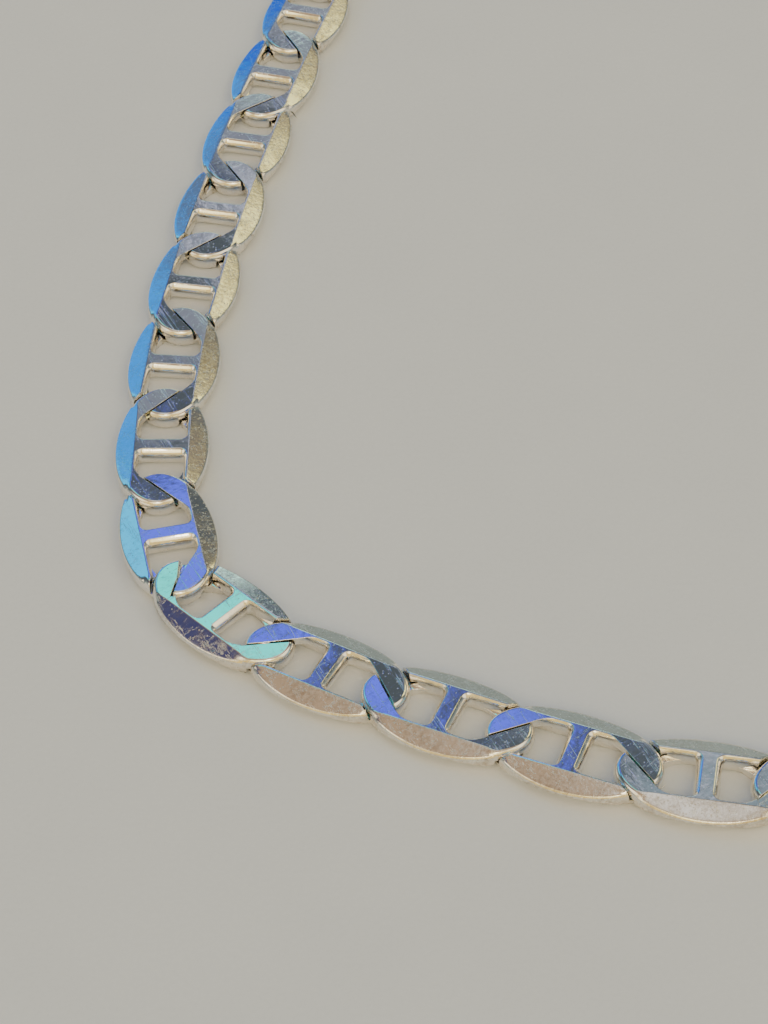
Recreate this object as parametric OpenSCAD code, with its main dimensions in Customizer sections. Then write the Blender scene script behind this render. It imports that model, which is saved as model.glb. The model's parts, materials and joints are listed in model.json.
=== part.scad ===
// Flat mariner link necklace: a closed loop of oval links, each with a bar across its middle.
// It lies on its back faces. Alternate links pass over their neighbours on the left and on the right.

/* [Link] */
// Length of a link over its bows
link_l = 14.2; // [13.4:0.1:15]
// Width of a link over its rails
link_w = 8; // [7.2:0.1:9]
// Thickness of the chain
link_t = 1.7; // [1.4:0.1:2.4]
// Distance from the middle of a link to the middle of the next
link_pitch = 10.35; // [9.8:0.05:11]
// Width of the flat between the two bevels
flat_w = 4.6; // [4.2:0.1:5.4]
// Height of the upright edge outside the bevels
edge_t = 0.4; // [0.2:0.1:0.8]
// Width of a rail at the middle of a link
rail_w = 2.1; // [1.7:0.1:2.3]
// Diameter of the round bar, which is flat where it meets the faces
bar_d = 2; // [1.6:0.1:2.2]

/* [Laps] */
// Clearance between interlocked links
play = 0.15; // [0.12:0.01:0.25]
// Angle between the chain and the line where two bows meet
lap_angle = 42; // [36:1:50]
// Radius where that line runs into a rail
lap_r = 2.4; // [0.6:0.1:3]

/* [Clasp] */
// Length of the clasp
clasp_l = 19.15; // [17:0.05:24]
// Width of the clasp at its hook
hook_w = 8.6; // [7.6:0.1:9.6]
// Width of the clasp at its eye
eye_w = 6.8; // [6.4:0.1:7.4]
// Length of the solid waist between the hook and the eye
waist_l = 4.6; // [3.6:0.1:6]
// Radius in the corners beside the waist
waist_r = 0.8; // [0.3:0.1:1.2]
// Diameter of the thumb catch, half of which stands out from the waist
catch_d = 2.8; // [2:0.1:4]
// Thickness of the thumb catch
catch_t = 1; // [0.6:0.1:1.4]

/* [Chain] */
// Number of links
links = 42; // [38:1:46]

/* [Hidden] */
// The line that the chain lies along, from the middle of the clasp, seen from above
chain_route = [
    [97.5, 88], [99, 63], [96, 37], [88, 11], [73, -11], [52, -23], [29.5, -28.5],
    [9.2, -22.8], [-9, -14.2], [-16.2, -7], [-18.2, 3], [-17.8, 20], [-14.9, 39], [-10.6, 59],
    [-5, 79], [3, 100], [17, 120], [38, 132.5], [61, 133], [80, 123], [92, 108]
];
// Steps between two points of the route, round an oval and round a corner
route_steps = 12;
oval_steps = 56;
corner_steps = 5;
round_steps = 32;

function link_name(i) = str("link_", i < 10 ? "0" : "", i);

// Piece 0 is the clasp, and pieces 1 to links are the links that follow it round the ring.
hole_w = link_w - 2 * rail_w;
lap = (link_l - link_pitch) / 2;
clasp_pitch = clasp_l - 2 * lap;
chain_l = links * link_pitch + clasp_pitch;

// A smooth closed curve through the points of the route
function curve(a, b, c, d, t) =
    (2 * b + (c - a) * t + (2 * a - 5 * b + 4 * c - d) * t * t + (3 * b - a - 3 * c + d) * t * t * t) / 2;
function route_point(i) = chain_route[(i + len(chain_route)) % len(chain_route)];
curve_points = [
    for (i = [0:len(chain_route) - 1], k = [0:route_steps - 1])
        curve(route_point(i - 1), route_point(i), route_point(i + 1), route_point(i + 2), k / route_steps),
    chain_route[0]
];
stretches = len(curve_points) - 1;
function stretch(i) = i < stretches ? norm(curve_points[i + 1] - curve_points[i]) : 0;
distances = [for (i = 0, d = 0; i <= stretches; d = d + stretch(i), i = i + 1) d];
route_scale = chain_l / distances[stretches];

// The point on the route at a distance along the chain, with the route brought to the chain's length
function along(d) = along_drawn((d + chain_l) % chain_l / route_scale) * route_scale;
function along_drawn(d) =
    [for (i = [0:stretches - 1]) if (distances[i] <= d && d < distances[i + 1])
        curve_points[i] + (curve_points[i + 1] - curve_points[i]) * (d - distances[i])
            / (distances[i + 1] - distances[i])][0];

// Joint i lies between piece i and piece i + 1. Each piece spans the straight line between its joints.
joints = [for (i = [0:links]) along(clasp_pitch / 2 + i * link_pitch)];
function start_of(i) = i == 0 ? joints[links] : joints[i - 1];
function end_of(i) = joints[i];
function middle_of(i) = (start_of(i) + end_of(i)) / 2;
function span_of(i) = norm(end_of(i) - start_of(i));
function angle_of(i) = let (d = end_of(i) - start_of(i)) atan2(d[1], d[0]);
function joint_angle(i) =
    let (a = angle_of(i), b = angle_of((i + 1) % (links + 1)))
    atan2(sin(a) + sin(b), cos(a) + cos(b));

// Outlines
function oval(l, w) =
    [for (k = [0:oval_steps - 1]) [l * cos(360 * k / oval_steps), w * sin(360 * k / oval_steps)] / 2];
function corner(a, b, c, r) =
    let (
        u = (a - b) / norm(a - b),
        v = (c - b) / norm(c - b),
        half = acos(u * v) / 2,
        mid = b + (u + v) / norm(u + v) * r / sin(half),
        from = b + u * r / tan(half) - mid,
        to = b + v * r / tan(half) - mid,
        start = atan2(from[1], from[0]),
        swing = atan2(cross(from, to), from * to)
    )
    [for (k = [0:corner_steps]) let (t = start + swing * k / corner_steps) mid + r * [cos(t), sin(t)]];
// A closed outline from corners, each with its radius as third number
function rounded(path) =
    let (n = len(path), at = [for (p = path) [p[0], p[1]]])
    [for (i = [0:n - 1])
        each path[i][2] > 0 ? corner(at[(i + n - 1) % n], at[i], at[(i + 1) % n], path[i][2]) : [at[i]]];

// The clasp's outline, widest at the hook, with its ends rounded to nearly half their width
eye_r = 0.45 * eye_w;
hook_r = 0.48 * hook_w;
clasp_outline = rounded([
    [-clasp_l / 2, -eye_w / 2, eye_r],
    [-clasp_l / 2, eye_w / 2, eye_r],
    [-waist_l / 2, eye_w / 2, waist_l / 2],
    [waist_l / 2, hook_w / 2, waist_l / 2],
    [clasp_l / 2, hook_w / 2, hook_r],
    [clasp_l / 2, -hook_w / 2, hook_r],
    [waist_l / 2, -hook_w / 2, waist_l / 2],
    [-waist_l / 2, -eye_w / 2, waist_l / 2]
]);

// The middle of the whole chain, seen from above
function turned(p, a) = [p[0] * cos(a) - p[1] * sin(a), p[0] * sin(a) + p[1] * cos(a)];
all_outlines = [
    for (i = [0:links])
        each [for (p = i == 0 ? clasp_outline : oval(link_l, link_w)) middle_of(i) + turned(p, angle_of(i))]
];
centre = [for (axis = [0, 1]) let (at = [for (p = all_outlines) p[axis]]) (min(at) + max(at)) / 2];

// The outline that a piece shows to its neighbour, larger by a margin
function outline_of(i, margin) =
    let (
        growth = 1 + 2 * margin / eye_w,
        drawn = i == 0 ? clasp_outline * growth
            : oval(link_l + 2 * margin, link_w + 2 * margin)
    )
    [for (p = drawn) middle_of(i) + turned(p, angle_of(i))];

// The part of a convex outline on the right of a line through at, seen along the line
function right_of(outline, at, angle) =
    let (
        n = len(outline),
        off = [for (p = outline) cross([cos(angle), sin(angle)], p - at)]
    )
    [for (i = [0:n - 1])
        let (k = (i + 1) % n)
        each concat(
            off[i] < 0 ? [outline[i]] : [],
            off[i] * off[k] < 0 ? [outline[i] + (outline[k] - outline[i]) * off[i] / (off[i] - off[k])] : []
        )];

// Flat faces and four bevels, as a long bar that the pieces are cut from
stock_l = 2 * clasp_l;
module profile(w) {
    slope = (link_t - edge_t) / (w - flat_w);
    ridge = (flat_w + link_t / slope) / 2;
    rotate([90, 0, 90])
        linear_extrude(stock_l, center = true)
            polygon([
                [-ridge, 0], [-flat_w / 2, -link_t / 2], [flat_w / 2, -link_t / 2],
                [ridge, 0], [flat_w / 2, link_t / 2], [-flat_w / 2, link_t / 2]
            ]);
}

// One layer of a hole, from inner to the line where the bows meet. Side is the side of the longer rail.
function hole_outline(inner, inner_r, joint, side) =
    let (slant = hole_w / 2 / tan(lap_angle))
    rounded([
        [inner, -side * hole_w / 2, inner_r],
        [inner, side * hole_w / 2, inner_r],
        [joint - slant, side * hole_w / 2, lap_r],
        [joint + slant, -side * hole_w / 2, 0]
    ]);

// The space that a piece's neighbour needs in one layer at a joint, where the line turns by angle from out
function lap_outline(neighbour, at, out, side) =
    let (
        line = out - side * lap_angle,
        start = at + play / 2 * [-sin(line), cos(line)] * side,
        back = side > 0 ? 0 : 180
    )
    right_of(outline_of(neighbour, play), start, line + back);

// How far the two holes of a link run into each other behind its bar
hole_meet = bar_d / 4;

// What is cut at one end of a piece: its hole and its neighbour's space, in the layers over and under.
// Way is 1 at the end and -1 at the start, hand is 1 where the bows pass over on the left looking out.
module end_cut(i, way) {
    joint_no = way > 0 ? i : (i + links) % (links + 1);
    neighbour = way > 0 ? (i + 1) % (links + 1) : joint_no;
    hand = joint_no % 2 == 0 ? -1 : 1;
    turn_back = way > 0 ? 0 : 180;
    out = joint_angle(joint_no) + turn_back;
    inner = i == 0 ? waist_l / 2 : -hole_meet;
    inner_r = i == 0 ? waist_r : 0;
    joint = i == 0 ? clasp_pitch / 2 : link_pitch / 2;
    for (layer = [1, -1])
        translate([0, 0, layer * (link_t - play) / 2]) {
            translate(middle_of(i))
                rotate(angle_of(i) + turn_back)
                    linear_extrude(link_t, center = true)
                        polygon(hole_outline(inner, inner_r, joint, layer * hand));
            linear_extrude(link_t, center = true)
                polygon(lap_outline(neighbour, joints[joint_no], out, layer * hand));
        }
}

// Brings what is drawn along X to the place of a piece, at its mid height
module place(i) {
    translate([middle_of(i)[0] - centre[0], middle_of(i)[1] - centre[1], link_t / 2])
        rotate(angle_of(i))
            children();
}

// A piece of the profile with the outline that is its child, with its holes and laps cut
module piece(i, w) {
    difference() {
        place(i)
            intersection() {
                profile(w);
                linear_extrude(link_t, center = true)
                    children();
            }
        translate([-centre[0], -centre[1], link_t / 2]) {
            end_cut(i, 1);
            end_cut(i, -1);
        }
    }
}

// The round bar across the middle of a link, flat at both faces
module bar(i) {
    place(i)
        intersection() {
            profile(link_w);
            rotate([90, 0, 0])
                cylinder(h = hole_w + rail_w, d = bar_d, center = true, $fn = round_steps);
        }
}

module link(i) {
    color("silver") {
        piece(i, link_w)
            polygon(oval(link_l, link_w));
        bar(i);
    }
}

module clasp() {
    color("silver") {
        piece(0, hook_w)
            polygon(clasp_outline);
        place(0)
            translate([0, -(eye_w + hook_w) / 4])
                cylinder(h = catch_t, d = catch_d, center = true, $fn = round_steps);
    }
}

for (i = [1:links])
    link(i);
clasp();
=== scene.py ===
"""Flat mariner link neck chain in polished silver, lying in a closed loop. Lengths in metres."""
import json
import math

import bpy
import numpy as np
from mathutils import Matrix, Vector
from mathutils.geometry import convex_hull_2d

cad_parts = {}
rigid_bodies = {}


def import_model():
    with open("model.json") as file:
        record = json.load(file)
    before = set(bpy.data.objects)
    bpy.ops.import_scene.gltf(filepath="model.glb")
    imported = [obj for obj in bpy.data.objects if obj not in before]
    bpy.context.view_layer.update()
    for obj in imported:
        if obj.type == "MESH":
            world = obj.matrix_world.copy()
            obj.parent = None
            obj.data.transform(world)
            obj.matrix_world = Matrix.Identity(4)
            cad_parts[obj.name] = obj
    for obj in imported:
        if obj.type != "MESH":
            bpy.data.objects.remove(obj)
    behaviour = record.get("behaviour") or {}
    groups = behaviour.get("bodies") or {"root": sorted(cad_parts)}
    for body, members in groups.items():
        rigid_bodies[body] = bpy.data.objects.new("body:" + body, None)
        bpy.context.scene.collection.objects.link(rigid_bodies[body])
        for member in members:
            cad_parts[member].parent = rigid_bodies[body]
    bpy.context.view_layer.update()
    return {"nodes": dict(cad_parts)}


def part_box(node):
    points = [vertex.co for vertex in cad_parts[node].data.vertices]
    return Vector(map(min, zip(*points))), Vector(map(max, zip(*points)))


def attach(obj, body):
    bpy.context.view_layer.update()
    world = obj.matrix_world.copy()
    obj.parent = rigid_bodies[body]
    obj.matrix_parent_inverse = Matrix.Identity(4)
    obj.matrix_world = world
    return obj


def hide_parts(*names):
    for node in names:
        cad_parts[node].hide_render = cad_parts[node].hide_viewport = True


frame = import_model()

MM = 0.001

# Link, as in the part's source
LINK_L = 14.2 * MM
LINK_W = 8.0 * MM
LINK_T = 1.7 * MM
LINK_PITCH = 10.35 * MM
FLAT_W = 4.6 * MM
EDGE_T = 0.4 * MM
RAIL_W = 2.1 * MM
BAR_D = 2.0 * MM
PLAY = 0.15 * MM
LAP_ANGLE = math.radians(42)
LAP_R = 2.4 * MM
HOLE_W = LINK_W - 2 * RAIL_W

# Finish of a link's shape
EDGE_CHAMFER = 0.12 * MM  # between the upright edge and a bevel
BOW_ROUND = 0.46 * MM  # round the outside of a bow
WIRE_R = 1.0 * MM  # of the wire that a bar and the inside of a bow are round like
RAIL_SHARE = 0.58  # share of that roundness on the inside of a rail
FILLET_R = 0.35 * MM  # in the corners of a hole
HOLE_BEND = math.radians(6)  # the most that a hole turns with the chain
EDGE_ROUND = 0.045 * MM  # on every sharp edge
EDGE_STEPS = 2
SPLIT_FROM = 5  # corners of the smallest face that is split before its edges are rounded
SHARP_ANGLE = math.radians(17)
SMOOTH_ANGLE = math.radians(50)
NORMAL_WEIGHT = 60

# Fineness of the meshes
OVAL_SIDES = 96
BOW_STEPS = 8
CHAMFER_STEPS = 2  # of those, up to the chamfer's inner edge
WALL_STEPS = 8
FIRST_STEP = 0.3  # the step at which a wall starts above the middle
FACE_STEP = WALL_STEPS - 0.5  # the step at which it reaches the face
CORNER_STEPS = 6
FLAT_CUTS = (0, 1.15 * MM, 2.6 * MM, 4.0 * MM, 5.2 * MM)  # from the middle of a link
WELD = 0.012 * MM  # points nearer than this are one
HAIR = 0.005 * MM  # by which a hole runs into the space beside it
SKIN = 1e-6  # a height or a gap that counts as none
CAD_WELD = 1e-7
CAD_FLAT = math.radians(0.6)
FLAT_RISE = 0.99998  # least rise of a flat's normal
BEVEL_RISE = 0.5  # least rise of the normals beside a flat
LEAST_OUT = 1e-3  # keeps a division from zero at the tips
FLIP = (1, 1, -1)  # from the upper half to the lower

# How the hand polish turned a link's faces: their crown from bow to bow, and how far those of each
# link in the photo lean to X and to Y, in degrees
CHANCE = np.random.default_rng(7)
CROWN = math.radians(2.5)
LEAN = {
    13: (3.0, 1.0), 14: (3.0, 1.0), 15: (3.0, 1.0), 16: (-2.0, 0.5),
    17: (-0.3, 0.1), 18: (1.3, -0.3), 19: (-4.9, -8.0), 20: (-1.3, -1.6),
    21: (4.6, 1.0), 22: (4.0, 1.1), 23: (6.0, -2.0), 24: (6.2, -2.0),
    25: (4.6, -0.8), 26: (4.3, -0.8), 27: (4.7, -1.5), 28: (4.5, -1.4),
}
SPARE_LEAN = 1.2  # the most that another link's faces lean

# Effects: where each one begins and is full
CLOUD_RANGE = (0.3, 0.7)
SCRATCH_RANGE = (0.52, 0.62)
SCRATCH_GAPS = 0.23  # scale of the gaps in a scratch
DENT_RANGE = (0.55, 0.85)
DENT_EDGE = (0.12, 0.34)

# Finish of the silver. What a pair gives is for the flats and for the ground bevels.
SILVER_CLEAN = (0.94, 0.905, 0.845, 1)
# The tarnish colour also paints a brown reflection onto the ground bevels that face one side.
SILVER_TARNISH_AND_PAINTED_REFLECTION = (0.60, 0.52, 0.43, 1)
CLOUD_SCALE = 420.0
PEEL_SCALE = 3600.0
DENT_SCALE = 4400.0
SCRATCHES = (  # turn, breadth, length and fineness
    (28, 0.11 * MM, 3.5 * MM, 0.035),
    (-51, 0.09 * MM, 2.2 * MM, 0.03),
)
# On the ground bevels this share carries painted brown reflection as well as tarnish.
TARNISH_AND_PAINTED_REFLECTION_SHARE = (0.35, 1.0)
WORN_SHARE = (0.6, 1.0)
CLOUD_DULL = (0.06, 0.15)  # roughness outside and inside a cloud
GROUND_DULL = 0.08
WORN_DULL = 0.4
FINISH_DEPTH = 0.012 * MM
CLOUD_HEIGHT = 0.7
PEEL_HEIGHT = (0.05, 0.22)
WORN_HEIGHT = 0.35
WORN_AND_PAINTED_REFLECTION_SIDE = np.array([0.6, -0.8]) * 0.8  # the way that the bevels face which are most worn and take the most painted brown reflection
LEAST_WEAR_AND_PAINTED_REFLECTION = 0.1
CLASP_WEAR_AND_PAINTED_REFLECTION = 0.5

# Floor
FLOOR_SIZE = 3
FLOOR_LOW = (0.77, 0.80, 0.88, 1)
FLOOR_HIGH = (0.81, 0.84, 0.92, 1)
FLOOR_CLOUD_SCALE = 60.0
FLOOR_GRAIN_SCALE = 2400.0
FLOOR_BUMP = 0.3
FLOOR_DULL = 0.85

# Camera, found from the bars of thirteen links in the photo
CAMERA_AT = (-0.0365, -0.2122, 0.1669)
CAMERA_DOWN = math.radians(46.15)
CAMERA_LEFT = math.radians(1.24)
CAMERA_ROLL = math.radians(-0.73)
CAMERA_LENS = 98.4
CAMERA_NEAR = 0.01
FILM_LONG_SIDE = 36.0


def deselect_all():
    for o in bpy.context.selected_objects:
        o.select_set(False)


def make_active(o):
    deselect_all()
    o.select_set(True)
    bpy.context.view_layer.objects.active = o


def edit(o):
    make_active(o)
    bpy.ops.object.mode_set(mode="EDIT")
    bpy.ops.mesh.select_mode(type="VERT")


def leave_edit():
    bpy.ops.object.mode_set(mode="OBJECT")


def merge_doubles(distance):
    bpy.ops.mesh.select_all(action="SELECT")
    bpy.ops.mesh.remove_doubles(threshold=distance)


def apply_modifier(o, name):
    make_active(o)
    bpy.ops.object.modifier_apply(modifier=name)


def copy_of(o, name):
    twin = bpy.data.objects.new(name, o.data.copy())
    bpy.context.scene.collection.objects.link(twin)
    return twin


def put_away(o):
    for collection in list(o.users_collection):
        collection.objects.unlink(o)


def coordinates(o):
    co = np.empty(len(o.data.vertices) * 3)
    o.data.vertices.foreach_get("co", co)
    return co.reshape(-1, 3)


def set_coordinates(o, co):
    o.data.vertices.foreach_set("co", np.ascontiguousarray(co).ravel())
    o.data.update()


def direction(angle):
    return np.array([math.cos(angle), math.sin(angle)])


def turned(points, angle):
    c, s = math.cos(angle), math.sin(angle)
    return np.asarray(points) @ np.array([[c, s], [-s, c]])


def cross(a, b):
    return a[..., 0] * b[..., 1] - a[..., 1] * b[..., 0]


def unit(v):
    """A vector, or rows of them, brought to length one."""
    return v / np.hypot(*v.T)[..., None]


# Camera

def make_camera():
    camera = bpy.data.objects.new("camera", bpy.data.cameras.new("camera"))
    bpy.context.scene.collection.objects.link(camera)
    camera.location = CAMERA_AT
    camera.rotation_mode = "XYZ"
    left = Matrix.Rotation(CAMERA_LEFT, 4, "Z")
    down = Matrix.Rotation(math.pi / 2 - CAMERA_DOWN, 4, "X")
    roll = Matrix.Rotation(CAMERA_ROLL, 4, "Z")
    camera.rotation_euler = (left @ down @ roll).to_euler()
    camera.data.sensor_width = FILM_LONG_SIDE
    camera.data.sensor_fit = "AUTO"
    camera.data.lens = CAMERA_LENS
    camera.data.clip_start = CAMERA_NEAR
    bpy.context.scene.camera = camera


# Where the pieces lie. Piece 0 is the clasp, and the links follow it round the ring.

LINKS = sum(name.startswith("link_") for name in frame["nodes"])


def node_name(i):
    return f"link_{i:02d}" if i else "clasp"


def cad_outline(i):
    return coordinates(frame["nodes"][node_name(i)])[:, :2]


def middle_of(i):
    low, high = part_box(node_name(i))
    return np.array(((low + high) / 2)[:2])


def angle_of(i):
    """Direction of travel of a link, from the tip farthest from its middle."""
    out = cad_outline(i) - middle_of(i)
    tip = out[np.argmax(np.hypot(*out.T))]
    travel = middle_of((i + 1) % (LINKS + 1)) - middle_of(i - 1)
    if tip @ travel < 0:
        tip = -tip
    return math.atan2(tip[1], tip[0])


MIDDLE = {i: middle_of(i) for i in range(1, LINKS + 1)}
ANGLE = {i: angle_of(i) for i in range(1, LINKS + 1)}


def link_end(i, way):
    return MIDDLE[i] + way * LINK_PITCH / 2 * direction(ANGLE[i])


def joint_place(k):
    """Joint k lies between piece k and piece k + 1."""
    if k == 0:
        return link_end(1, -1)
    if k == LINKS:
        return link_end(LINKS, 1)
    return (link_end(k, 1) + link_end(k + 1, -1)) / 2


CLASP_TRAVEL = joint_place(0) - joint_place(LINKS)
ANGLE[0] = math.atan2(CLASP_TRAVEL[1], CLASP_TRAVEL[0])


def joint_angle(k):
    mean = direction(ANGLE[k]) + direction(ANGLE[(k + 1) % (LINKS + 1)])
    return math.atan2(mean[1], mean[0])


def outline_of(i, margin):
    """Outline of a piece seen from above, counterclockwise, larger by a margin."""
    points = cad_outline(i)
    hull = points[convex_hull_2d([tuple(p) for p in points])]
    hull = hull[np.hypot(*(np.roll(hull, -1, 0) - hull).T) > WELD]
    if cross(hull[1] - hull[0], hull[2] - hull[1]) < 0:
        hull = hull[::-1]
    ahead = unit(np.roll(hull, -1, 0) - hull)
    along = unit(ahead + np.roll(ahead, 1, 0))
    return hull + margin * np.stack([along[:, 1], -along[:, 0]], 1)


# Blocks made of rings of points. The plain ones are kept by their levels and sides.

BLOCKS = {}


def ring_block(name, rings):
    """A closed block through rings of points, each counterclockwise and above the last."""
    levels, count = len(rings) - 1, len(rings[0])
    if (levels, count) not in BLOCKS:
        BLOCKS[levels, count] = plain_block(levels, count)
    block, ring, place = BLOCKS[levels, count]
    o = copy_of(block, name)
    set_coordinates(o, np.asarray(rings)[ring, place])
    return o


def plain_block(levels, count):
    """A cylinder with its levels and sides, and each of its points' ring and place there."""
    deselect_all()
    bpy.ops.mesh.primitive_cylinder_add(
        vertices=count, radius=1, depth=levels, end_fill_type="NGON")
    o = bpy.context.object
    edit(o)
    for k in range(1, levels):
        bpy.ops.mesh.select_all(action="SELECT")
        bpy.ops.mesh.bisect(plane_co=(0, 0, k - levels / 2), plane_no=(0, 0, 1))
    leave_edit()
    co = coordinates(o)
    ring = np.rint(co[:, 2] + levels / 2).astype(int)
    place = np.rint(-np.arctan2(co[:, 0], co[:, 1]) / (2 * math.pi) * count).astype(int) % count
    put_away(o)
    return o, ring, place


def smooth_step(t):
    t = np.clip(t, 0, 1)
    return t * t * (3 - 2 * t)


# A link before it is pierced: an oval with a bevel along each rail and rounded bows

def make_blank():
    half_t = LINK_T / 2
    turn = np.arange(OVAL_SIDES) / OVAL_SIDES * 2 * math.pi
    outline = np.stack([LINK_L / 2 * np.cos(turn), LINK_W / 2 * np.sin(turn)], 1)
    out = unit(np.stack([np.cos(turn) / LINK_L, np.sin(turn) / LINK_W], 1))
    bevel_w = abs(outline[:, 1]) - FLAT_W / 2
    bevel_in = bevel_w / np.maximum(abs(out[:, 1]), LEAST_OUT)
    inset = np.maximum(bevel_in, BOW_ROUND)
    bow = 1 - smooth_step((bevel_in - BOW_ROUND) / BOW_ROUND)
    slope = (LINK_T - EDGE_T) / (LINK_W - FLAT_W)
    wall = (1 - bevel_w * slope / half_t).clip(0, 1)
    chamfer = EDGE_CHAMFER / inset
    rings = []
    for k in range(BOW_STEPS + 1):
        rise = k / BOW_STEPS * math.pi / 2
        if k < CHAMFER_STEPS:
            bevel = 0 * chamfer
            bevel_up = k * (wall - EDGE_CHAMFER / half_t)
        else:
            bevel = chamfer + (1 - chamfer) * (k - CHAMFER_STEPS) / (BOW_STEPS - CHAMFER_STEPS)
            bevel_up = wall + (1 - wall) * bevel
        share = bow * (1 - math.cos(rise)) + (1 - bow) * bevel
        up = (bow * math.sin(rise) + (1 - bow) * bevel_up) * half_t
        rings.append(np.column_stack([outline - out * (inset * share)[:, None], up]))
    below = [ring * FLIP for ring in rings[:0:-1]]
    blank = ring_block("blank", below + rings)
    cut_flats(blank)
    put_away(blank)
    return blank


def cut_flats(o):
    """Lines across both flats, so that no face of a pierced flat runs round a hole."""
    edit(o)
    top = LINK_T / 2 - SKIN
    for x in sorted({side * cut for cut in FLAT_CUTS for side in (1, -1)}):
        bpy.ops.mesh.select_all(action="DESELECT")
        leave_edit()
        for face in o.data.polygons:
            face.select = abs(face.center.z) > top
        bpy.ops.object.mode_set(mode="EDIT")
        bpy.ops.mesh.select_mode(type="FACE")
        bpy.ops.mesh.bisect(plane_co=(x, 0, 0), plane_no=(1, 0, 0), threshold=SKIN)
    leave_edit()


# What is cut out of a link at one end, seen from its middle with the end on the right

def wall_levels():
    """Heights and insets of a wall round like wire, from below the middle to past the face."""
    reach = math.asin(LINK_T / 2 / WIRE_R)
    turn = (np.arange(WALL_STEPS + 1) + FIRST_STEP) / FACE_STEP * reach
    heights = WIRE_R * np.sin(turn)
    insets = WIRE_R * (1 - np.cos(turn))
    return [(-PLAY / 2 + HAIR, -HAIR)] + list(zip(heights, insets))


def rounded_corners(corners):
    """Points round an outline's corners, with the way out and the share of rounding at each."""
    points, ways, shares = [], [], []
    for k, (at, radius, share) in enumerate(corners):
        at = np.array(at)
        at_before, _, share_before = corners[k - 1]
        at_after = corners[(k + 1) % len(corners)][0]
        before, after = unit(at_before - at), unit(at_after - at)
        half = math.acos(np.clip(before @ after, -1, 1)) / 2
        mid = at + unit(before + after) * radius / math.sin(half)
        first = before * radius / math.tan(half) + at - mid
        last = after * radius / math.tan(half) + at - mid
        start = math.atan2(first[1], first[0])
        swing = math.atan2(cross(first, last), first @ last)
        for step in range(CORNER_STEPS + 1):
            t = step / CORNER_STEPS
            way = direction(start + swing * t)
            points.append(mid + radius * way)
            ways.append(way)
            shares.append(share_before + (share - share_before) * smooth_step(t))
    return np.array(points), np.array(ways), np.array(shares)


def line_at(start, way, v):
    """Point where a line crosses the height v."""
    return start + way * (v - start[1]) / way[1]


def hole_block(start, line, side, layer):
    """One layer of a hole, from the bar to the line where the bows meet."""
    way = direction(line)
    rail = HOLE_W / 2
    corners = [
        ((BAR_D / 2, side * rail), FILLET_R, 1.0),
        ((BAR_D / 2, -side * rail), FILLET_R, RAIL_SHARE),
        (tuple(line_at(start, way, -side * rail)), FILLET_R, 0.0),
        (tuple(line_at(start, way, side * rail)), LAP_R, RAIL_SHARE),
    ]
    points, ways, shares = rounded_corners(corners)
    if side < 0:
        points, ways, shares = points[::-1], ways[::-1], shares[::-1]
    rings = [
        np.column_stack([points + ways * (shares * inset)[:, None], np.full(len(points), height)])
        for height, inset in wall_levels()
    ]
    return layer_block("hole", rings, layer)


def layer_block(name, rings, layer):
    """A block drawn for the upper layer, turned over for the lower one."""
    if layer < 0:
        rings = [ring * FLIP for ring in rings[::-1]]
    return ring_block(name, rings)


def lap_block(outline, start, line, side, layer):
    """The space of the neighbour's bow: its outline on one side of the line where they meet."""
    way = direction(line) * side
    off = cross(way, outline - start)
    points = []
    for p, q, a, b in zip(outline, np.roll(outline, -1, 0), off, np.roll(off, -1)):
        if a < 0:
            points.append(p)
        if a * b < 0:
            points.append(p + (q - p) * a / (a - b))
    points = np.array(points)
    heights = (-PLAY / 2, LINK_T)
    rings = [np.column_stack([points, np.full(len(points), h)]) for h in heights]
    return layer_block("lap", rings, layer)


def end_blocks(i, way):
    """All that is cut at the end of a link, where way is 1, or at its start, where it is -1."""
    joint = i if way > 0 else i - 1
    neighbour = (i + 1) % (LINKS + 1) if way > 0 else i - 1
    hand = 1 if joint % 2 else -1  # 1 where the bows pass over on the left
    turn = ANGLE[i] if way > 0 else ANGLE[i] + math.pi
    at = turned(joint_place(joint) - MIDDLE[i], -turn)
    outline = turned(outline_of(neighbour, PLAY) - MIDDLE[i], -turn)
    bend = joint_angle(joint) - ANGLE[i]
    hole_bend = np.clip(bend, -HOLE_BEND, HOLE_BEND)
    blocks = []
    for layer in (1, -1):
        side = layer * hand
        line = bend - side * LAP_ANGLE
        hole_line = hole_bend - side * LAP_ANGLE
        left = np.array([-math.sin(line), math.cos(line)]) * side
        blocks.append(hole_block(at + left * (PLAY / 2 - HAIR), hole_line, side, layer))
        blocks.append(lap_block(outline, at + left * PLAY / 2, line, side, layer))
    for o in blocks:
        co = coordinates(o)
        co[:, :2] = turned(co[:, :2], 0 if way > 0 else math.pi)
        set_coordinates(o, co)
    return blocks


def make_link(i, blank):
    o = copy_of(blank, "silver_" + node_name(i))
    cutters = bpy.data.collections.new("cutters")
    for way in (1, -1):
        for block in end_blocks(i, way):
            put_away(block)
            cutters.objects.link(block)
    pierce = o.modifiers.new("pierce", "BOOLEAN")
    pierce.operation = "DIFFERENCE"
    pierce.solver = "MANIFOLD"
    pierce.operand_type = "COLLECTION"
    pierce.collection = cutters
    apply_modifier(o, pierce.name)
    for block in list(cutters.objects):
        bpy.data.objects.remove(block)
    bpy.data.collections.remove(cutters)
    co = coordinates(o)
    co[:, :2] = turned(co[:, :2], ANGLE[i]) + MIDDLE[i]
    co[:, 2] += LINK_T / 2
    set_coordinates(o, co)
    round_edges(o)
    along, across = turned(coordinates(o)[:, :2] - MIDDLE[i], -ANGLE[i]).T
    # Bevels that face one side of the ring get more wear and more painted brown reflection.
    wear_and_painted_reflection = 0.5 + cross(direction(ANGLE[i]), WORN_AND_PAINTED_REFLECTION_SIDE) * np.sign(across)
    lean = np.radians(LEAN.get(i, CHANCE.uniform(-SPARE_LEAN, SPARE_LEAN, 2)))
    rise = lean + np.outer(along / (LINK_L / 2) * CROWN, direction(ANGLE[i]))
    mark_faces(o, rise, across, wear_and_painted_reflection)
    finish_piece(o, node_name(i))


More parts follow.
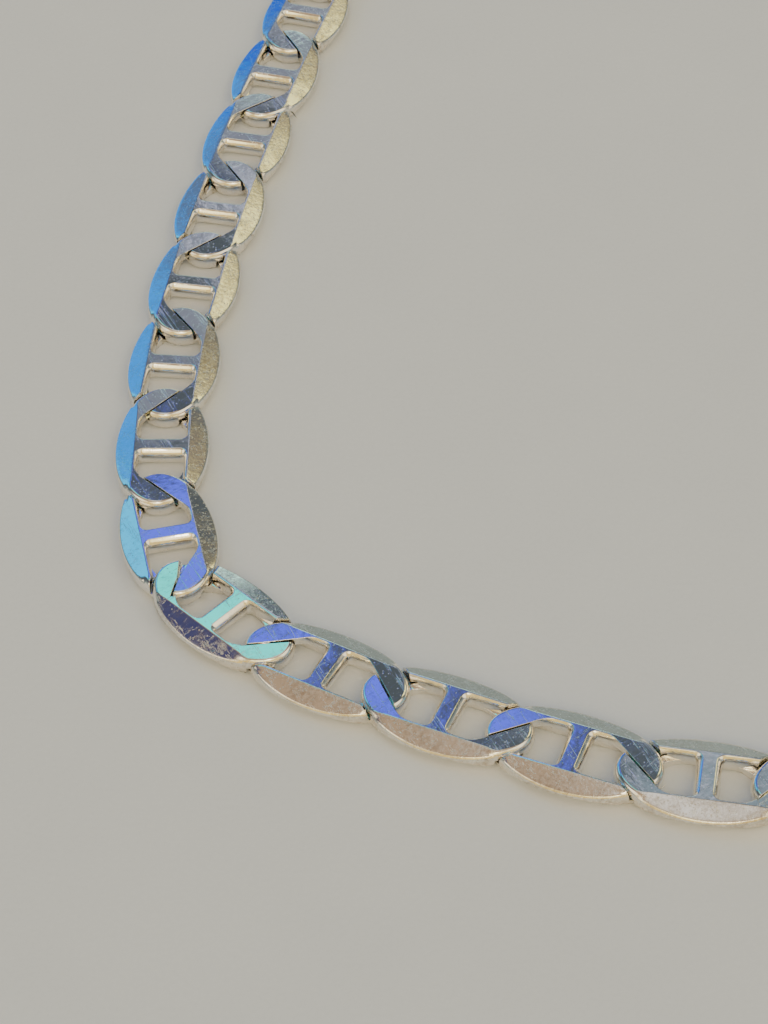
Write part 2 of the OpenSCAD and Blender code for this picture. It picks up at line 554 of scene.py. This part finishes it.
def mark_faces(o, rise, across, wear_and_painted_reflection):
    """Attributes for the silver: the turn of its faces, and how worn its ground bevels are and how
    much painted brown reflection they take.
    """
    sway = o.data.attributes.new("sway", "FLOAT_VECTOR", "POINT")
    sway.data.foreach_set("vector", np.column_stack([-rise[:, 1], rise[:, 0], 0 * across]).ravel())
    ground = o.data.attributes.new("ground", "FLOAT", "POINT")
    bevel = ((abs(across) - FLAT_W / 2) / EDGE_ROUND + 0.5).clip(0, 1)
    ground.data.foreach_set("value", bevel * np.clip(wear_and_painted_reflection, LEAST_WEAR_AND_PAINTED_REFLECTION, 1))


def round_edges(o):
    edit(o)
    merge_doubles(WELD)
    leave_edit()
    split = o.modifiers.new("split", "TRIANGULATE")
    split.min_vertices = SPLIT_FROM
    apply_modifier(o, split.name)
    bevel = o.modifiers.new("edges", "BEVEL")
    bevel.limit_method = "ANGLE"
    bevel.angle_limit = SHARP_ANGLE
    bevel.width = EDGE_ROUND
    bevel.segments = EDGE_STEPS
    bevel.use_clamp_overlap = False
    bevel.miter_outer = "MITER_ARC"
    apply_modifier(o, bevel.name)
    co = coordinates(o)
    co[:, 2] = co[:, 2].clip(0, LINK_T)
    set_coordinates(o, co)
    make_active(o)
    bpy.ops.object.shade_smooth_by_angle(angle=SMOOTH_ANGLE)
    weighted = o.modifiers.new("normals", "WEIGHTED_NORMAL")
    weighted.keep_sharp = True
    weighted.weight = NORMAL_WEIGHT
    apply_modifier(o, weighted.name)
    level_flats(o.data)


def level_flats(mesh):
    """Normals straight up or down wherever a flat reaches, so that it mirrors as one plane."""
    loops, faces = mesh.loops, mesh.polygons
    corner = np.empty(len(loops) * 3)
    mesh.corner_normals.foreach_get("vector", corner)
    corner = corner.reshape(-1, 3)
    at = np.empty(len(loops), dtype=int)
    loops.foreach_get("vertex_index", at)
    normal = np.empty(len(faces) * 3)
    faces.foreach_get("normal", normal)
    count = np.empty(len(faces), dtype=int)
    faces.foreach_get("loop_total", count)
    rise = np.repeat(normal.reshape(-1, 3)[:, 2], count)
    for way in (1, -1):
        on_flat = np.zeros(len(mesh.vertices), dtype=bool)
        on_flat[at[way * rise > FLAT_RISE]] = True
        corner[on_flat[at] & (way * rise > BEVEL_RISE)] = (0, 0, way)
    mesh.normals_split_custom_set(corner)


def make_clasp():
    """The clasp of the part itself, with its edges rounded and the links' finish."""
    o = copy_of(frame["nodes"]["clasp"], "silver_clasp")
    edit(o)
    merge_doubles(CAD_WELD)
    bpy.ops.mesh.dissolve_limited(angle_limit=CAD_FLAT)
    leave_edit()
    round_edges(o)
    across = turned(coordinates(o)[:, :2] - middle_of(0), -ANGLE[0])[:, 1]
    mark_faces(o, np.zeros((len(across), 2)), across, CLASP_WEAR_AND_PAINTED_REFLECTION)
    finish_piece(o, "clasp")


def finish_piece(o, node):
    o.data.materials.clear()
    o.data.materials.append(SILVER)
    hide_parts(node)
    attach(o, "root")


# Materials

def add_node(tree, kind, values=None, **settings):
    node = tree.nodes.new("ShaderNode" + kind)
    for key, value in settings.items():
        setattr(node, key, value)
    for key, value in (values or {}).items():
        if isinstance(value, bpy.types.NodeSocket):
            tree.links.new(value, node.inputs[key])
        else:
            node.inputs[key].default_value = value
    return node


def maths(tree, operation, a, b=0.0, clamp=False):
    return add_node(tree, "Math", {0: a, 1: b}, operation=operation, use_clamp=clamp).outputs[0]


def vector_maths(tree, operation, a, b=(0.0, 0.0, 0.0), output="Vector"):
    return add_node(tree, "VectorMath", {0: a, 1: b}, operation=operation).outputs[output]


def ramp(tree, value, low, high, start=0.0, end=1.0):
    values = {"Value": value, "From Min": low, "From Max": high, "To Min": start, "To Max": end}
    return add_node(tree, "MapRange", values, interpolation_type="SMOOTHSTEP").outputs["Result"]


def mix(tree, share, first, second, **settings):
    values = {"Factor": share, "A": first, "B": second}
    return add_node(tree, "Mix", values, data_type="RGBA", **settings).outputs["Result"]


def make_group(name, inputs, outputs):
    """An empty effect with its named inputs and outputs, each with its kind of socket."""
    tree = bpy.data.node_groups.new(name, "ShaderNodeTree")
    for way, sockets in (("INPUT", inputs), ("OUTPUT", outputs)):
        for label, kind in sockets.items():
            tree.interface.new_socket(label, in_out=way, socket_type="NodeSocket" + kind)
    return tree, tree.nodes.new("NodeGroupInput").outputs, tree.nodes.new("NodeGroupOutput").inputs


def place_group(tree, effect, values):
    return add_node(tree, "Group", values, node_tree=effect).outputs


def smudges_effect():
    """Soft clouds of one size over a finer grain."""
    inputs = {"Vector": "Vector", "Scale": "Float"}
    tree, given, out = make_group("smudges", inputs, {"Cloud": "Float"})
    values = {"Vector": given["Vector"], "Scale": given["Scale"], "Detail": 3.0, "Roughness": 0.6}
    cloud = add_node(tree, "TexNoise", values).outputs[0]
    tree.links.new(ramp(tree, cloud, *CLOUD_RANGE), out["Cloud"])
    return tree


def scratches_effect():
    """Thin broken lines along Y of a stretched vector, where a noise passes its middle value."""
    inputs = {"Vector": "Vector", "Width": "Float"}
    tree, given, out = make_group("scratches", inputs, {"Lines": "Float"})
    values = {"Vector": given["Vector"], "Scale": 1.0, "Detail": 0.0}
    field = add_node(tree, "TexNoise", values).outputs[0]
    off = maths(tree, "ABSOLUTE", maths(tree, "SUBTRACT", field, 0.5))
    line = maths(tree, "SUBTRACT", 1.0, maths(tree, "DIVIDE", off, given["Width"]), clamp=True)
    values = {"Vector": given["Vector"], "Scale": SCRATCH_GAPS, "Detail": 2.0}
    broken = add_node(tree, "TexNoise", values).outputs[0]
    tree.links.new(maths(tree, "MULTIPLY", line, ramp(tree, broken, *SCRATCH_RANGE)), out["Lines"])
    return tree


def pits_effect():
    """Small scattered dents."""
    inputs = {"Vector": "Vector", "Scale": "Float"}
    tree, given, out = make_group("pits", inputs, {"Dents": "Float"})
    cells = add_node(tree, "TexVoronoi", {"Vector": given["Vector"], "Scale": given["Scale"]})
    chance = add_node(tree, "SeparateColor", {"Color": cells.outputs["Color"]}).outputs["Red"]
    dent = ramp(tree, cells.outputs["Distance"], *DENT_EDGE, 1.0, 0.0)
    tree.links.new(maths(tree, "MULTIPLY", dent, ramp(tree, chance, *DENT_RANGE)), out["Dents"])
    return tree


def turned_faces_effect():
    """A normal turned by a small turn about an axis."""
    inputs = {"Normal": "Vector", "Turn": "Vector"}
    tree, given, out = make_group("turned_faces", inputs, {"Normal": "Vector"})
    aside = vector_maths(tree, "CROSS_PRODUCT", given["Turn"], given["Normal"])
    both = vector_maths(tree, "ADD", given["Normal"], aside)
    tree.links.new(vector_maths(tree, "NORMALIZE", both), out["Normal"])
    return tree


def stretched(tree, vector, turn, across, along):
    """Coordinates turned by degrees and stretched to a breadth and a length."""
    rotation = (0, 0, math.radians(turn))
    values = {"Vector": vector, "Rotation": rotation, "Scale": (across, along, across)}
    return add_node(tree, "Mapping", values, vector_type="TEXTURE").outputs[0]


def bumped(tree, height, strength):
    values = {"Strength": strength, "Distance": FINISH_DEPTH, "Height": height}
    return add_node(tree, "Bump", values).outputs[0]


def silver_material():
    m = bpy.data.materials.new("polished_silver")
    m.use_nodes = True
    tree = m.node_tree
    shader = tree.nodes["Principled BSDF"]
    place = add_node(tree, "TexCoord").outputs["Object"]
    ground = add_node(tree, "Attribute", attribute_name="ground").outputs["Fac"]
    sway = add_node(tree, "Attribute", attribute_name="sway").outputs["Vector"]

    cloud = place_group(tree, SMUDGES, {"Vector": place, "Scale": CLOUD_SCALE})["Cloud"]
    peel = place_group(tree, SMUDGES, {"Vector": place, "Scale": PEEL_SCALE})["Cloud"]
    worn = place_group(tree, PITS, {"Vector": place, "Scale": DENT_SCALE})["Dents"]
    for turn, across, along, width in SCRATCHES:
        vector = stretched(tree, place, turn, across, along)
        lines = place_group(tree, LINES, {"Vector": vector, "Width": width})["Lines"]
        worn = maths(tree, "MAXIMUM", worn, lines)
    worn = maths(tree, "MULTIPLY", worn, ramp(tree, ground, 0, 1, *WORN_SHARE))

    # Tarnish clouds over the silver. They are stronger on the bevels that face one side, where the
    # brown is a painted reflection.
    tarnish_and_painted_reflection = maths(tree, "MULTIPLY", cloud, peel)
    tarnish_and_painted_reflection = maths(tree, "MULTIPLY", tarnish_and_painted_reflection, ramp(tree, ground, 0, 1, *TARNISH_AND_PAINTED_REFLECTION_SHARE))
    colour = mix(tree, tarnish_and_painted_reflection, SILVER_CLEAN, SILVER_TARNISH_AND_PAINTED_REFLECTION)
    tree.links.new(colour, shader.inputs["Base Color"])

    dull = ramp(tree, cloud, 0, 1, *CLOUD_DULL)
    dull = maths(tree, "ADD", dull, maths(tree, "MULTIPLY", ground, GROUND_DULL))
    dull = maths(tree, "ADD", dull, maths(tree, "MULTIPLY", worn, WORN_DULL))
    tree.links.new(dull, shader.inputs["Roughness"])

    peel_height = maths(tree, "MULTIPLY", peel, ramp(tree, ground, 0, 1, *PEEL_HEIGHT))
    height = maths(tree, "ADD", maths(tree, "MULTIPLY", cloud, CLOUD_HEIGHT), peel_height)
    height = maths(tree, "SUBTRACT", height, maths(tree, "MULTIPLY", worn, WORN_HEIGHT))
    bump = bumped(tree, height, 1.0)
    normal = place_group(tree, TURNED_FACES, {"Normal": bump, "Turn": sway})["Normal"]
    tree.links.new(normal, shader.inputs["Normal"])
    shader.inputs["Metallic"].default_value = 1.0
    return m


def floor_material():
    m = bpy.data.materials.new("pale_floor")
    m.use_nodes = True
    tree = m.node_tree
    shader = tree.nodes["Principled BSDF"]
    place = add_node(tree, "TexCoord").outputs["Object"]
    cloud = place_group(tree, SMUDGES, {"Vector": place, "Scale": FLOOR_CLOUD_SCALE})["Cloud"]
    grain = place_group(tree, SMUDGES, {"Vector": place, "Scale": FLOOR_GRAIN_SCALE})["Cloud"]
    shade = maths(tree, "MULTIPLY", maths(tree, "ADD", cloud, grain), 0.5)
    tree.links.new(mix(tree, shade, FLOOR_LOW, FLOOR_HIGH), shader.inputs["Base Color"])
    tree.links.new(bumped(tree, grain, FLOOR_BUMP), shader.inputs["Normal"])
    shader.inputs["Roughness"].default_value = FLOOR_DULL
    return m


def make_floor():
    deselect_all()
    bpy.ops.mesh.primitive_plane_add(size=FLOOR_SIZE, location=(0, 0, 0))
    floor = bpy.context.object
    floor.name = "floor"
    floor.data.materials.append(floor_material())


# Light: a dark studio with soft panels that the silver mirrors

PANELS = [
    # Azimuth from the back to the right, elevation, inner and outer radius, all in degrees,
    # and then colour and strength. A panel lies over those that are listed before it.
    ("left_fill", -118, 36, 12, 27, (1.0, 0.88, 0.64), 2.1),
    ("right_fill", 115, 38, 14, 34, (1.0, 0.88, 0.64), 1.8),
    ("low_gold", 180, 8, 38, 64, (0.90, 0.68, 0.26), 1.15),
    ("front_key", 180, 44, 13, 24, (1.0, 0.86, 0.48), 2.7),
    ("front_spot", 172, 50, 2.5, 5, (1.0, 0.93, 0.80), 11.0),
    ("brown_top", -112, 80, 28, 35, (0.68, 0.49, 0.32), 0.75),
    ("pale_top", 60, 89, 6, 13, (0.98, 0.95, 0.89), 1.1),
    ("violet_left", -92, 49, 9, 13, (0.10, 0.11, 0.30), 0.6),
    ("brown_right", 38, 34, 6, 9, (0.75, 0.58, 0.40), 0.42),
    ("cream_right", 47, 42, 9, 12.5, (1.0, 0.93, 0.40), 2.1),
    ("azure_left", -28, 20, 14, 19, (0.02, 0.31, 1.0), 1.3),
    ("deep_left", -13, 17, 7, 11, (0.02, 0.12, 1.0), 0.9),
    ("cyan_left", -48, 36, 8, 12, (0.03, 0.54, 1.0), 1.6),
    ("slate_left", -22, 28, 3, 6, (0.16, 0.24, 0.42), 0.8),
    ("grey_back", 4, 37, 3, 8, (0.24, 0.27, 0.36), 1.0),
    ("slate_right", 17, 47, 4, 7, (0.25, 0.34, 0.42), 1.0),
    ("line_back", 3, 26, 4, 8, (0.60, 1.0, 0.92), 2.0),
    ("line_top", 2, 69, 3, 7, (0.80, 0.92, 0.95), 1.4),
    ("line_right", 12, 42, 3, 6, (0.70, 0.75, 1.0), 1.3),
    ("cyan_top", -26, 61, 6.5, 9, (0.06, 0.96, 0.92), 1.45),
    ("blue_back", -11, 50, 4.5, 7.8, (0.09, 0.12, 1.0), 1.6),
]
HORIZON_COLOUR = (0.33, 0.39, 0.36, 1)
BACK_COLOUR = (0.085, 0.105, 0.125, 1)
HORIZON_HEIGHT = (4, 30)  # degrees between which the first colour turns into the second


def sine(degrees):
    return math.sin(math.radians(degrees))


def cosine(degrees):
    return math.cos(math.radians(degrees))


def make_studio():
    world = bpy.data.worlds.new("studio")
    bpy.context.scene.world = world
    world.use_nodes = True
    tree = world.node_tree
    place = add_node(tree, "TexCoord").outputs["Generated"]
    height = add_node(tree, "SeparateXYZ", {0: place}).outputs["Z"]
    rise = ramp(tree, height, *map(sine, HORIZON_HEIGHT))
    colour = mix(tree, rise, HORIZON_COLOUR, BACK_COLOUR)
    for name, azimuth, elevation, inner, outer, tint, strength in PANELS:
        flat = cosine(elevation)
        way = (flat * sine(azimuth), flat * cosine(azimuth), sine(elevation))
        facing = vector_maths(tree, "DOT_PRODUCT", place, way, "Value")
        edge = ramp(tree, facing, cosine(outer), cosine(inner))
        colour = mix(tree, edge, colour, (*(c * strength for c in tint), 1), name=name)
    background = tree.nodes["Background"]
    background.inputs["Strength"].default_value = 1.0
    tree.links.new(colour, background.inputs["Color"])


make_camera()
SMUDGES, LINES = smudges_effect(), scratches_effect()
PITS, TURNED_FACES = pits_effect(), turned_faces_effect()
SILVER = silver_material()
blank = make_blank()
for i in range(1, LINKS + 1):
    make_link(i, blank)
make_clasp()
make_floor()
make_studio()
for block, *_ in BLOCKS.values():
    bpy.data.objects.remove(block)
bpy.data.objects.remove(blank)
